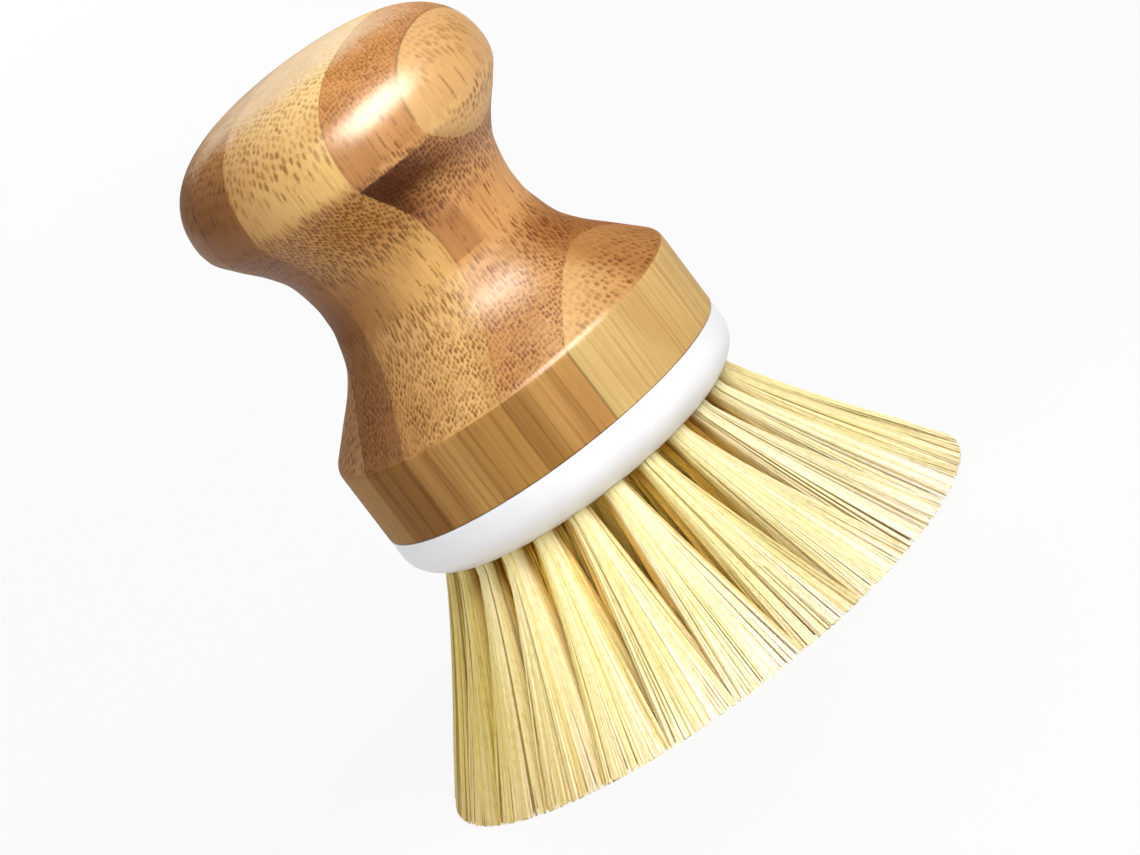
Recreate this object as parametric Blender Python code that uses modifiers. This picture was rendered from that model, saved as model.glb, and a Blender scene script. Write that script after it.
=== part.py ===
"""Round palm brush for the kitchen: a turned bamboo handle, a white plate screwed under its foot, and
55 bristle tufts in blind holes of that plate, each folded over its own flat wire anchor.

Metres, +Z up. The origin is on the brush's axis, at the level of the trimmed bristle tips it stands on.
"""
import math

import bmesh
import bpy
from mathutils import Matrix, Vector

# Clearance between pieces that touch, and how far a cutter runs past the face it opens
CLEARANCE = 0.0003
OVERRUN = 0.001

# Heights of the parts of the brush, from the tips upwards
BRISTLE_DROP = 0.0274
PLATE_THICKNESS = 0.0075
BAND_HEIGHT = 0.01115
FLARE_HEIGHT = 0.0185
NECK_HEIGHT = 0.016
CROWN_HEIGHT = 0.01147

# Radii of the turned handle
FOOT_RADIUS = 0.026
WAIST_RADIUS = 0.01535
HEAD_RADIUS = 0.02312

# Small shapes of the handle and the plate
SHOULDER_ROUND = 0.0008
EDGE_BREAK = 0.0003
RIM_ROUND_WIDTH = 0.0059
RIM_ROUND_HEIGHT = 0.005
SPIGOT_INSET = 0.009
SPIGOT_HEIGHT = 0.0025

# The head's top is a superellipse: the powers flatten it towards its side and towards its top
CROWN_SIDE_POWER = 3.11
CROWN_TOP_POWER = 2.27

# The curve from the head's widest circle down to the waist, and from the waist out to the shoulder.
# Heights are shares of NECK_HEIGHT and FLARE_HEIGHT, radii are shares of the change between the circles.
NECK_HEIGHT_SHARES = (0, 0.12, 0.3, 0.5, 0.7, 0.88, 1)
NECK_RADIUS_SHARES = (0, 0.042, 0.291, 0.634, 0.877, 0.965, 1)
FLARE_HEIGHT_SHARES = (0, 0.15, 0.3, 0.45, 0.6, 0.8, 1)
FLARE_RADIUS_SHARES = (0, 0.007, 0.067, 0.157, 0.333, 0.663, 1)

# Tuft holes: places in each row, the rows' radii as shares of the outer row's, the turn of all rows,
# the wall outside the outer row, and the share of the tufts' flare that the holes lean by
ROW_NAMES = ("outer", "second", "third", "inner")
ROW_PLACES = (24, 18, 12, 4)
ROW_RADIUS_SHARES = (1, 0.74, 0.48, 0.2)
FIRST_TUFT_ANGLE = math.radians(-86.4)
HOLE_TO_SIDE = 0.00295
HOLE_DEPTH = 0.0045
HOLE_LEAN_SHARE = 0.6

# Tufts: the radius of a bound root, how far it stands out of its hole, how far the outermost tips
# reach past the foot, and the share of the room between two tuft centres that each tuft's tips fill
# to each side
TUFT_RADIUS = 0.00175
ROOT_SHOW = 0.001
TIP_OVERHANG = 0.0147
TIP_FILL_SHARE = 0.43

# One tuft: a strand in the middle and a ring of strands round it, each a lock of fibres that loosens
STRANDS_IN_RING = 7
STRAND_SIDES = 3
STRAND_ROOT_RADIUS = 0.00042
STRAND_TIP_RADIUS = 0.0009
STRAND_FUSE_DEPTH = 0.0005
STRAND_TO_EDGE = 0.00025
TRIM_DEPTH = 0.0005

# How much a tuft narrows up to its fold, and the flat wire through the fold that holds it in its hole
FOLD_NARROWING = 0.0005
FOLD_TO_ANCHOR = 0.0009
ANCHOR_HEIGHT = 0.001
ANCHOR_THICKNESS = 0.0004

# Three countersunk wood screws take every fourth place of the third row
SCREW_ROW = 2
SCREW_EVERY = 4
SCREW_LENGTH = 0.016
SCREW_RADIUS = 0.00145
SCREW_POINT = 0.003
SCREW_HEAD_RADIUS = 0.0025
SCREW_HEAD_HEIGHT = 0.0015
SCREW_HEAD_EDGE = 0.0003
SLOT_WIDTH = 0.0006
SLOT_DEPTH = 0.0007
SLOT_MARGIN = 0.0007

# How finely round shapes are drawn
HANDLE_STEPS = 40
SCREW_STEPS = 12
TUFT_STEPS = 8
CROWN_POINTS = 10
CURVE_POINTS = 8
RIM_POINTS = 5
ROUND_POINTS = 3
SHARP_EDGE = math.radians(32)
SAME_PLANE = math.radians(0.1)
SCREW_MERGE = 0.00001

# Levels and radii that follow from the sizes above
PLATE_TOP = BRISTLE_DROP + PLATE_THICKNESS
FOOT_LEVEL = PLATE_TOP + CLEARANCE
SHOULDER_LEVEL = PLATE_TOP + BAND_HEIGHT
WAIST_LEVEL = SHOULDER_LEVEL + FLARE_HEIGHT
HEAD_LEVEL = WAIST_LEVEL + NECK_HEIGHT
SPREAD_RADIUS = FOOT_RADIUS + TIP_OVERHANG
SPIGOT_RADIUS = FOOT_RADIUS - SPIGOT_INSET
HOLE_RADIUS = TUFT_RADIUS + CLEARANCE
OUTER_ROW_RADIUS = FOOT_RADIUS - HOLE_TO_SIDE - HOLE_RADIUS
TIP_PITCH_SHARE = 2 * math.pi / ROW_PLACES[0]
TIP_ROW_RADIUS = SPREAD_RADIUS / (1 + TIP_FILL_SHARE * TIP_PITCH_SHARE)
TUFT_TIP_RADIUS = SPREAD_RADIUS - TIP_ROW_RADIUS


def clear_scene():
    for obj in list(bpy.data.objects):
        bpy.data.objects.remove(obj, do_unlink=True)


def new_collection(name, parent, hidden=False):
    collection = bpy.data.collections.new(name)
    collection.hide_render = hidden
    parent.children.link(collection)
    return collection


def material(name, colour, roughness, metallic):
    made = bpy.data.materials.new(name)
    made.use_nodes = True
    shader = made.node_tree.nodes["Principled BSDF"]
    shader.inputs["Base Color"].default_value = (*colour, 1)
    shader.inputs["Roughness"].default_value = roughness
    shader.inputs["Metallic"].default_value = metallic
    made.diffuse_color = (*colour, 1)
    return made


def new_object(name, mesh, collection):
    obj = bpy.data.objects.new(name, mesh)
    collection.objects.link(obj)
    if collection.hide_render:
        obj.hide_render = True
        obj.display_type = "WIRE"
    return obj


def evaluated_mesh(obj):
    """The mesh that an object's modifiers make, with neighbouring faces of one plane joined."""
    bpy.context.view_layer.update()
    graph = bpy.context.evaluated_depsgraph_get()
    mesh = bpy.data.meshes.new_from_object(obj.evaluated_get(graph))
    shape = bmesh.new()
    shape.from_mesh(mesh)
    bmesh.ops.dissolve_limit(shape, angle_limit=SAME_PLANE, verts=shape.verts, edges=shape.edges)
    shape.to_mesh(mesh)
    shape.free()
    return mesh


def turned_mesh(name, profile, steps):
    """A solid of revolution. The profile holds (radius, height) pairs, down its outer side."""
    mesh = bpy.data.meshes.new(name)
    points = [(radius, 0, height) for radius, height in profile]
    mesh.from_pydata(points, [(i, i + 1) for i in range(len(points) - 1)], [])
    guide = new_object(name, mesh, bpy.context.scene.collection)
    screw = guide.modifiers.new("Turn", "SCREW")
    screw.steps = steps
    screw.render_steps = steps
    screw.use_merge_vertices = True
    screw.merge_threshold = SCREW_MERGE
    solid = evaluated_mesh(guide)
    bpy.data.objects.remove(guide)
    return solid


def from_bmesh(name, shape, collection):
    bmesh.ops.recalc_face_normals(shape, faces=shape.faces)
    mesh = bpy.data.meshes.new(name)
    shape.to_mesh(mesh)
    shape.free()
    return new_object(name, mesh, collection)


def box(name, size, matrix, collection):
    shape = bmesh.new()
    bmesh.ops.create_cube(shape, size=1, matrix=matrix @ Matrix.Diagonal((*size, 1)))
    return from_bmesh(name, shape, collection)


def boolean(obj, operation, other):
    modifier = obj.modifiers.new(f"{operation} {other.name}", "BOOLEAN")
    modifier.operation = operation
    modifier.solver = "EXACT"
    if isinstance(other, bpy.types.Collection):
        modifier.operand_type = "COLLECTION"
        modifier.collection = other
    else:
        modifier.object = other


def finished_mesh(obj, finish):
    """An object's mesh after its modifiers, smooth but for its sharp edges, with its material."""
    mesh = evaluated_mesh(obj)
    mesh.transform(obj.matrix_world)
    mesh.name = obj.name
    mesh.shade_smooth()
    mesh.set_sharp_from_angle(angle=SHARP_EDGE)
    mesh.materials.clear()
    mesh.materials.append(finish)
    return mesh


def polar(radius, angle, height=0.0):
    return Vector((radius * math.cos(angle), radius * math.sin(angle), height))


def monotone_slopes(places, values):
    """Slopes of a smooth curve through the values that never swings past them, level at its start."""
    gaps = [b - a for a, b in zip(places, places[1:])]
    rises = [(b - a) / gap for a, b, gap in zip(values, values[1:], gaps)]
    slopes = [0.0]
    for gap, next_gap, rise, next_rise in zip(gaps, gaps[1:], rises, rises[1:]):
        weights = (2 * next_gap + gap, next_gap + 2 * gap)
        slopes.append(sum(weights) / (weights[0] / rise + weights[1] / next_rise))
    return slopes + [rises[-1]]


def smooth_value(places, values, slopes, where):
    """The value at one place of that curve, as a cubic between its two nearest stations."""
    i = max(k for k in range(len(places) - 1) if places[k] <= where)
    gap = places[i + 1] - places[i]
    t = (where - places[i]) / gap
    start = values[i] * (1 + 2 * t) * (1 - t) ** 2 + slopes[i] * gap * t * (1 - t) ** 2
    end = values[i + 1] * (3 - 2 * t) * t ** 2 - slopes[i + 1] * gap * t ** 2 * (1 - t)
    return start + end


def smooth_run(places, values):
    """Evenly spaced (place, value) pairs of shares along the smooth curve through the stations."""
    slopes = monotone_slopes(places, values)
    steps = [i / CURVE_POINTS for i in range(CURVE_POINTS + 1)]
    return [(step, smooth_value(places, values, slopes, step)) for step in steps]


def rounded_corner(before, corner, after, length):
    """Points of a round that leaves both edges of a corner at this length from it."""
    before, corner, after = Vector(before), Vector(corner), Vector(after)
    start = corner + (before - corner).normalized() * length
    end = corner + (after - corner).normalized() * length
    steps = [i / ROUND_POINTS for i in range(ROUND_POINTS + 1)]
    return [tuple(start.lerp(corner, t).lerp(corner.lerp(end, t), t)) for t in steps]


def crown_profile():
    """The head's top, from the axis out to its widest circle."""
    points = [(0.0, HEAD_LEVEL + CROWN_HEIGHT)]
    for i in range(CROWN_POINTS - 1, -1, -1):
        turn = math.pi / 2 * i / CROWN_POINTS
        radius = HEAD_RADIUS * math.cos(turn) ** (2 / CROWN_SIDE_POWER)
        height = CROWN_HEIGHT * math.sin(turn) ** (2 / CROWN_TOP_POWER)
        points.append((radius, HEAD_LEVEL + height))
    return points


def neck_profile():
    """From just under the head's widest circle down to the waist."""
    drop = HEAD_RADIUS - WAIST_RADIUS
    run = smooth_run(NECK_HEIGHT_SHARES, NECK_RADIUS_SHARES)[1:]
    return [(HEAD_RADIUS - drop * radius, HEAD_LEVEL - NECK_HEIGHT * height) for height, radius in run]


def flare_profile():
    """From just under the waist out to the last point before the shoulder."""
    growth = FOOT_RADIUS - WAIST_RADIUS
    run = smooth_run(FLARE_HEIGHT_SHARES, FLARE_RADIUS_SHARES)[1:-1]
    return [(WAIST_RADIUS + growth * radius, WAIST_LEVEL - FLARE_HEIGHT * height) for height, radius in run]


def foot_profile(last_of_flare):
    """The shoulder, the straight band, and the recess that takes the plate's spigot."""
    shoulder = (FOOT_RADIUS, SHOULDER_LEVEL)
    band_end = (FOOT_RADIUS, FOOT_LEVEL + EDGE_BREAK)
    recess_radius = SPIGOT_RADIUS + CLEARANCE
    recess_floor = PLATE_TOP + SPIGOT_HEIGHT + CLEARANCE
    return rounded_corner(last_of_flare, shoulder, band_end, SHOULDER_ROUND) + [
        band_end,
        (FOOT_RADIUS - EDGE_BREAK, FOOT_LEVEL),
        (recess_radius, FOOT_LEVEL),
        (recess_radius, recess_floor),
        (0.0, recess_floor),
    ]


def rim_profile():
    """The plate's rounded lower rim, a quarter of an ellipse from its side to its underside."""
    centre_radius = FOOT_RADIUS - RIM_ROUND_WIDTH
    centre_level = BRISTLE_DROP + RIM_ROUND_HEIGHT
    turns = [math.pi / 2 * i / RIM_POINTS for i in range(RIM_POINTS + 1)]
    return [
        (centre_radius + RIM_ROUND_WIDTH * math.cos(turn), centre_level - RIM_ROUND_HEIGHT * math.sin(turn))
        for turn in turns
    ]


def plate_profile():
    spigot_top = PLATE_TOP + SPIGOT_HEIGHT
    return [
        (0.0, spigot_top),
        (SPIGOT_RADIUS - EDGE_BREAK, spigot_top),
        (SPIGOT_RADIUS, spigot_top - EDGE_BREAK),
        (SPIGOT_RADIUS, PLATE_TOP),
        (FOOT_RADIUS - EDGE_BREAK, PLATE_TOP),
        (FOOT_RADIUS, PLATE_TOP - EDGE_BREAK),
        *rim_profile(),
        (0.0, BRISTLE_DROP),
    ]


def screw_profile(growth=0.0):
    """A countersunk screw that points up from its head's flat face at height zero, or room for one."""
    shank = SCREW_RADIUS + growth
    head = SCREW_HEAD_RADIUS + growth
    return [
        (0.0, SCREW_LENGTH + growth),
        (shank, SCREW_LENGTH - SCREW_POINT + growth),
        (shank, SCREW_HEAD_HEIGHT + growth),
        (head, SCREW_HEAD_EDGE + growth),
        (head, 0.0),
        (0.0, 0.0),
    ]


def row_radius(row):
    return OUTER_ROW_RADIUS * ROW_RADIUS_SHARES[row]


def tip_row_radius(row):
    return TIP_ROW_RADIUS * ROW_RADIUS_SHARES[row]


def place_angle(row, place):
    return FIRST_TUFT_ANGLE + 2 * math.pi * place / ROW_PLACES[row]


def is_screw_place(row, place):
    return row == SCREW_ROW and place % SCREW_EVERY == 0


def tuft_places():
    """(row, place) of every tuft, row by row."""
    return [
        (row, place)
        for row, places in enumerate(ROW_PLACES)
        for place in range(places)
        if not is_screw_place(row, place)
    ]


def screw_places():
    places = range(0, ROW_PLACES[SCREW_ROW], SCREW_EVERY)
    return [polar(row_radius(SCREW_ROW), place_angle(SCREW_ROW, place), BRISTLE_DROP) for place in places]


def lean_matrix(row):
    """Turns a hole's upright axis so that it leans inwards as it goes up, with a flat side outwards."""
    flare = math.atan((tip_row_radius(row) - row_radius(row)) / BRISTLE_DROP)
    half_side = math.pi / TUFT_STEPS
    return Matrix.Rotation(-flare * HOLE_LEAN_SHARE, 4, "Y") @ Matrix.Rotation(half_side, 4, "Z")


def place_matrix(row, place):
    angle = place_angle(row, place)
    return Matrix.Translation(polar(row_radius(row), angle, BRISTLE_DROP)) @ Matrix.Rotation(angle, 4, "Z")


def hole_profile():
    """A blind tuft hole, from its floor down to its own radius past the plate's underside."""
    return [(0.0, HOLE_DEPTH), (HOLE_RADIUS, HOLE_DEPTH), (HOLE_RADIUS, -HOLE_RADIUS), (0.0, -HOLE_RADIUS)]


def root_profile():
    """The bound part of a tuft, from its fold under the hole's floor to where its strands part."""
    fold = HOLE_DEPTH - CLEARANCE
    return [(0.0, fold), (TUFT_RADIUS - FOLD_NARROWING, fold), (TUFT_RADIUS, -ROOT_SHOW), (0.0, -ROOT_SHOW)]


def tapered_rod(shape, low, high, low_radius, high_radius, sides, spin):
    """Adds a closed tapered rod between two points, turned about itself by the spin."""
    direction = high - low
    turn = Vector((0, 0, 1)).rotation_difference(direction).to_matrix().to_4x4()
    matrix = Matrix.Translation((low + high) / 2) @ turn @ Matrix.Rotation(spin, 4, "Z")
    bmesh.ops.create_cone(
        shape,
        cap_ends=True,
        segments=sides,
        radius1=low_radius,
        radius2=high_radius,
        depth=direction.length,
        matrix=matrix,
    )


def trim_below(shape, level):
    """Cuts a shape off flat at a level and closes the cut ends."""
    everything = shape.verts[:] + shape.edges[:] + shape.faces[:]
    bmesh.ops.bisect_plane(
        shape, geom=everything, plane_co=(0, 0, level), plane_no=(0, 0, -1), clear_outer=True
    )
    bmesh.ops.holes_fill(shape, edges=shape.edges, sides=STRAND_SIDES)


def strand_layout():
    """(share of the ring's radius, angle) of each strand in a tuft."""
    ring = [(1, 2 * math.pi * i / STRANDS_IN_RING) for i in range(STRANDS_IN_RING)]
    return [(0, 0.0)] + ring


def strands(row, lean, helpers):
    """A tuft's strands, from inside the end of its root to their flat trimmed tips."""
    shape = bmesh.new()
    root_ring = TUFT_RADIUS - STRAND_TO_EDGE - STRAND_ROOT_RADIUS
    tip_ring = TUFT_TIP_RADIUS - STRAND_TIP_RADIUS
    tip_centre = Vector((tip_row_radius(row) - row_radius(row), 0, -BRISTLE_DROP))
    for share, angle in strand_layout():
        root = lean @ Vector((0, 0, STRAND_FUSE_DEPTH - ROOT_SHOW)) + polar(root_ring * share, angle)
        tip = tip_centre + polar(tip_ring * share, angle)
        low = tip + (tip - root).normalized() * (TRIM_DEPTH + STRAND_TIP_RADIUS)
        spin = angle - math.pi / 2
        tapered_rod(shape, low, root, STRAND_TIP_RADIUS, STRAND_ROOT_RADIUS, STRAND_SIDES, spin)
    trim_below(shape, -BRISTLE_DROP)
    return from_bmesh(f"strands_{ROW_NAMES[row]}", shape, helpers)


def anchor(row, lean, helpers):
    """The flat wire that lies across a tuft inside its fold and stands out at both sides of it."""
    level = HOLE_DEPTH - CLEARANCE - FOLD_TO_ANCHOR
    flat_radius = TUFT_RADIUS * math.cos(math.pi / TUFT_STEPS)
    size = (ANCHOR_THICKNESS, 2 * flat_radius, ANCHOR_HEIGHT)
    matrix = lean @ Matrix.Rotation(-math.pi / TUFT_STEPS, 4, "Z") @ Matrix.Translation((0, 0, level))
    return box(f"anchor_{ROW_NAMES[row]}", size, matrix, helpers)


def tuft_mesh(row, helpers, finish):
    """One tuft of a row, with its hole's mouth at the origin and the brush's outside towards +X."""
    lean = lean_matrix(row)
    name = f"tuft_{ROW_NAMES[row]}"
    root = new_object(name, turned_mesh(name, root_profile(), TUFT_STEPS), helpers)
    root.matrix_world = lean
    boolean(root, "UNION", strands(row, lean, helpers))
    boolean(root, "UNION", anchor(row, lean, helpers))
    return finished_mesh(root, finish)


def screw_room_profile():
    """Room for a screw, open below the plate's underside."""
    head = SCREW_HEAD_RADIUS + CLEARANCE
    return screw_profile(CLEARANCE)[:-2] + [(head, -OVERRUN), (0.0, -OVERRUN)]


def make_handle(parts, cutters, finish):
    profile = crown_profile() + neck_profile() + flare_profile()
    profile += foot_profile(profile[-1])
    blank = new_object("handle_blank", turned_mesh("handle_blank", profile, HANDLE_STEPS), cutters)
    pilots = new_collection("pilot_holes", cutters, hidden=True)
    pilot_mesh = turned_mesh("pilot_hole", screw_profile(CLEARANCE), SCREW_STEPS)
    for number, place in enumerate(screw_places(), 1):
        new_object(f"pilot_hole_{number}", pilot_mesh, pilots).location = place
    boolean(blank, "DIFFERENCE", pilots)
    new_object("handle", finished_mesh(blank, finish), parts)


def make_plate(parts, cutters, finish):
    blank = new_object("plate_blank", turned_mesh("plate_blank", plate_profile(), HANDLE_STEPS), cutters)
    holes = new_collection("plate_holes", cutters, hidden=True)
    room_mesh = turned_mesh("screw_room", screw_room_profile(), SCREW_STEPS)
    for number, place in enumerate(screw_places(), 1):
        new_object(f"screw_room_{number}", room_mesh, holes).location = place
    hole_mesh = turned_mesh("tuft_hole", hole_profile(), TUFT_STEPS)
    for row, place in tuft_places():
        hole = new_object(f"tuft_hole_{ROW_NAMES[row]}_{place + 1:02d}", hole_mesh, holes)
        hole.matrix_world = place_matrix(row, place) @ lean_matrix(row)
    boolean(blank, "DIFFERENCE", holes)
    new_object("bristle_plate", finished_mesh(blank, finish), parts)


def make_screws(parts, cutters, finish):
    """Screws with a cross recess in the head, their heads level with the plate's underside."""
    blank = new_object("screw_blank", turned_mesh("screw_blank", screw_profile(), SCREW_STEPS), cutters)
    slot_length = 2 * (SCREW_HEAD_RADIUS - SLOT_MARGIN)
    for name, size in (("slot_x", (slot_length, SLOT_WIDTH)), ("slot_y", (SLOT_WIDTH, slot_length))):
        boolean(blank, "DIFFERENCE", box(name, (*size, 2 * SLOT_DEPTH), Matrix.Identity(4), cutters))
    mesh = finished_mesh(blank, finish)
    for number, place in enumerate(screw_places(), 1):
        new_object(f"plate_screw_{number}", mesh, parts).location = place


def make_tufts(parts, cutters, finish):
    meshes = [tuft_mesh(row, cutters, finish) for row in range(len(ROW_NAMES))]
    for row, place in tuft_places():
        tuft = new_object(f"tuft_{ROW_NAMES[row]}_{place + 1:02d}", meshes[row], parts)
        tuft.matrix_world = place_matrix(row, place)


def build():
    clear_scene()
    scene_root = bpy.context.scene.collection
    parts = new_collection("palm_brush", scene_root)
    cutters = new_collection("cutters", scene_root, hidden=True)
    make_handle(parts, cutters, material("bamboo", (0.58, 0.33, 0.13), 0.35, 0))
    make_plate(parts, cutters, material("white_plastic", (0.85, 0.85, 0.87), 0.3, 0))
    make_screws(parts, cutters, material("zinc_steel", (0.6, 0.6, 0.6), 0.35, 1))
    make_tufts(parts, cutters, material("plant_fibre", (0.8, 0.7, 0.4), 0.6, 0))


build()
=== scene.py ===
"""Looks of the kitchen palm brush: finely turned bamboo and plastic, full bristle tufts, light and camera.

Metres, +Z up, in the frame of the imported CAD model. The materials' own places are in millimetres in the
same frame. Colours are written as they look on a screen, 0 to 255, and tints multiply linear light.
"""
import math

import bmesh
import bpy
import numpy as np
from mathutils import Matrix, Vector


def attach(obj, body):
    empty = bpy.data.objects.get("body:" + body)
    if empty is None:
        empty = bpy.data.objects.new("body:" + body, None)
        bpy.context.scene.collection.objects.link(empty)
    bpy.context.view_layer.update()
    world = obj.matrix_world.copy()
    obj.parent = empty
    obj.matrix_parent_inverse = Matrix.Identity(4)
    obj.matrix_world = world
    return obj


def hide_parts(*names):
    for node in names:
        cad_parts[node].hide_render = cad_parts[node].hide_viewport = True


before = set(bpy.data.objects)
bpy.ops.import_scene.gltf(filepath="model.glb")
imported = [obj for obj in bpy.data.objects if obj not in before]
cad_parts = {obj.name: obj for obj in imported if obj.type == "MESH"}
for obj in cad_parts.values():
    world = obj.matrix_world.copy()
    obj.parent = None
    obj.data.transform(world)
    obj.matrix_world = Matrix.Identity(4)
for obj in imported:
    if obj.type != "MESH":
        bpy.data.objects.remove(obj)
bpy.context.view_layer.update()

MM = 0.001
TINY = 1e-9

# Sizes of the CAD model, which the finer pieces keep
CLEARANCE = 0.3 * MM
BRISTLE_DROP = 27.4 * MM
PLATE_TOP = 34.9 * MM
JOINT_GAP = 0.08 * MM
FOOT_LEVEL = PLATE_TOP + JOINT_GAP
SHOULDER_LEVEL = 46.05 * MM
WAIST_LEVEL = 64.55 * MM
HEAD_LEVEL = 80.55 * MM
CROWN_HEIGHT = 11.47 * MM
FOOT_RADIUS = 26 * MM
WAIST_RADIUS = 15.35 * MM
HEAD_RADIUS = 23.12 * MM
SHOULDER_ROUND = 0.8 * MM
EDGE_BREAK = 0.3 * MM
RIM_ROUND_WIDTH = 5.9 * MM
RIM_ROUND_HEIGHT = 5 * MM
SPIGOT_RADIUS = 17 * MM
SPIGOT_HEIGHT = 2.5 * MM
CROWN_SIDE_POWER = 3.11
CROWN_TOP_POWER = 2.27
NECK_HEIGHT_SHARES = (0, 0.12, 0.3, 0.5, 0.7, 0.88, 1)
NECK_RADIUS_SHARES = (0, 0.042, 0.291, 0.634, 0.877, 0.965, 1)
FLARE_HEIGHT_SHARES = (0, 0.15, 0.3, 0.45, 0.6, 0.8, 1)
FLARE_RADIUS_SHARES = (0, 0.007, 0.067, 0.157, 0.333, 0.663, 1)

# The tufts: rows from the outer one inwards, as in the CAD model
ROW_NAMES = ("outer", "second", "third", "inner")
ROW_PLACES = (24, 18, 12, 4)
ROW_RADIUS_SHARES = (1, 0.74, 0.48, 0.2)
FIRST_TUFT_ANGLE = math.radians(-86.4)
OUTER_ROW_RADIUS = 21 * MM
TIP_ROW_RADIUS = 36.58 * MM
SPREAD_RADIUS = 40.7 * MM
HOLE_RADIUS = 2.05 * MM
HOLE_DEPTH = 4.5 * MM
HOLE_LEAN_SHARE = 0.6
SCREW_ROW = 2
SCREW_EVERY = 4
SCREW_NUMBERS = (1, 2, 3)
SCREW_RADIUS = 1.45 * MM
SCREW_LENGTH = 16 * MM
SCREW_POINT = 3 * MM
SCREW_HEAD_RADIUS = 2.5 * MM
SCREW_HEAD_HEIGHT = 1.5 * MM
SCREW_HEAD_EDGE = 0.3 * MM
SCREW_ROOM_BELOW = 1 * MM
ANCHOR_SIZE = (0.4 * MM, 3.2 * MM, 1.0 * MM)
ANCHOR_LEVEL = 3.3 * MM

# How finely the visual pieces are drawn
TURN_STEPS = 224
CURVE_POINTS = 30
RIM_POINTS = 20
ROUND_POINTS = 6
HOLE_STEPS = 20
SHARP_EDGE = math.radians(35)

# Bristle strands of one visual tuft, as places in its round section of radius 1: a filling and round it a
# skin, open towards the brush's axis
SEED = 11
STRANDS = 250
SKIN_STRANDS = 130
SKIN_SPAN = math.radians(150)
SKIN_SHAKE = 0.02
SKIN_RADII = (0.93, 1.0)
FILLING_RADIUS = 0.92
FILLING_SHAKE = 0.04

# The tips: the section is stretched towards the corners of a square, gathered in locks and made as wide
# as the room between tufts. A few strands stray.
CORNER_STRETCH = 1.42
CORNER_SHARE = 0.85
TIP_LOCKS = 24
TIP_PULL = 0.06
TIP_SHAKE = 0.015
STRAY_SHARE = 0.07
STRAY_REACH = 0.35
TIP_LIMIT = 1.05
TIP_HALF_WIDTH = 5.2 * MM
TIP_HALF_DEPTH = 4.1 * MM

# How unevenly the tips are cut, from tuft to tuft and from strand to strand, and how many are cut level
TUFT_CUT_SPREAD = 0.18 * MM
STRAND_CUT_SPREAD = 0.06 * MM
LEVEL_SHARE = 0.4

# The run of a strand: straight in and just outside its hole, then bending towards its tip
ROOT_RING = 1.65 * MM
ROOT_INSIDE = 3.9 * MM
ROOT_OUTSIDE = 1.0 * MM
BEND_DROP_SHARE = 0.3
BEND_SHARE = 0.45
BEND_SHAKE = 0.12 * MM

# One strand: a flattened rod that grows from its root to its tip
STRAND_SIDES = 5
STRAND_RINGS = 8
STRAND_RADII = (0.1 * MM, 0.19 * MM)
STRAND_FLATNESS = (0.55, 0.95)
STRAND_GROWTH = (0.7, 1.6)

# Tones of strands, 0 to 1, mostly shared in a lock, and the places in the section that count as deep
TONE_LOCKS = 22
LOCK_TONE_SHARE = 0.6
LEAST_TONE = 0.06
DARK_STRAND_SHARE = 0.05
SHALLOW_PLACE = 0.7
DEPTH_SPAN = 0.9


def shade_of(red, green, blue):
    """A screen colour, 0 to 255, as linear light with alpha."""
    def linear(value):
        value /= 255
        return value / 12.92 if value <= 0.04045 else ((value + 0.055) / 1.055) ** 2.4
    return (linear(red), linear(green), linear(blue), 1)


# Turned shapes


def monotone_slopes(places, values):
    gaps = np.diff(places)
    rises = np.diff(values) / gaps
    slopes = [0.0]
    for gap, next_gap, rise, next_rise in zip(gaps, gaps[1:], rises, rises[1:]):
        weights = (2 * next_gap + gap, next_gap + 2 * gap)
        slopes.append(sum(weights) / (weights[0] / rise + weights[1] / next_rise))
    return slopes + [rises[-1]]


def smooth_run(places, values):
    """(place, value) pairs along a smooth curve through the stations that never swings past them."""
    slopes = monotone_slopes(places, values)
    run = []
    for step in np.linspace(0, 1, CURVE_POINTS + 1):
        i = max(k for k in range(len(places) - 1) if places[k] <= step)
        gap = places[i + 1] - places[i]
        t = (step - places[i]) / gap
        start = values[i] * (1 + 2 * t) * (1 - t) ** 2 + slopes[i] * gap * t * (1 - t) ** 2
        end = values[i + 1] * (3 - 2 * t) * t ** 2 - slopes[i + 1] * gap * t ** 2 * (1 - t)
        run.append((step, start + end))
    return run


def rounded_corner(before, corner, after, length):
    """Points of a round that leaves both edges of a corner at this length from it."""
    before, corner, after = Vector(before), Vector(corner), Vector(after)
    start = corner + (before - corner).normalized() * length
    end = corner + (after - corner).normalized() * length
    steps = np.linspace(0, 1, ROUND_POINTS + 1)
    return [tuple(start.lerp(corner, t).lerp(corner.lerp(end, t), t)) for t in steps]


def knob_profile():
    """The knob's outline as (radius, height), from the top of the head down to the shoulder."""
    points = [(0.0, HEAD_LEVEL + CROWN_HEIGHT)]
    for turn in np.linspace(math.pi / 2, 0, CURVE_POINTS + 1)[1:]:
        radius = HEAD_RADIUS * max(math.cos(turn), 0) ** (2 / CROWN_SIDE_POWER)
        points.append((radius, HEAD_LEVEL + CROWN_HEIGHT * math.sin(turn) ** (2 / CROWN_TOP_POWER)))
    drop = HEAD_LEVEL - WAIST_LEVEL
    for height, radius in smooth_run(NECK_HEIGHT_SHARES, NECK_RADIUS_SHARES)[1:]:
        points.append((HEAD_RADIUS - (HEAD_RADIUS - WAIST_RADIUS) * radius, HEAD_LEVEL - drop * height))
    drop = WAIST_LEVEL - SHOULDER_LEVEL
    for height, radius in smooth_run(FLARE_HEIGHT_SHARES, FLARE_RADIUS_SHARES)[1:-1]:
        points.append((WAIST_RADIUS + (FOOT_RADIUS - WAIST_RADIUS) * radius, WAIST_LEVEL - drop * height))
    return points


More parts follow.
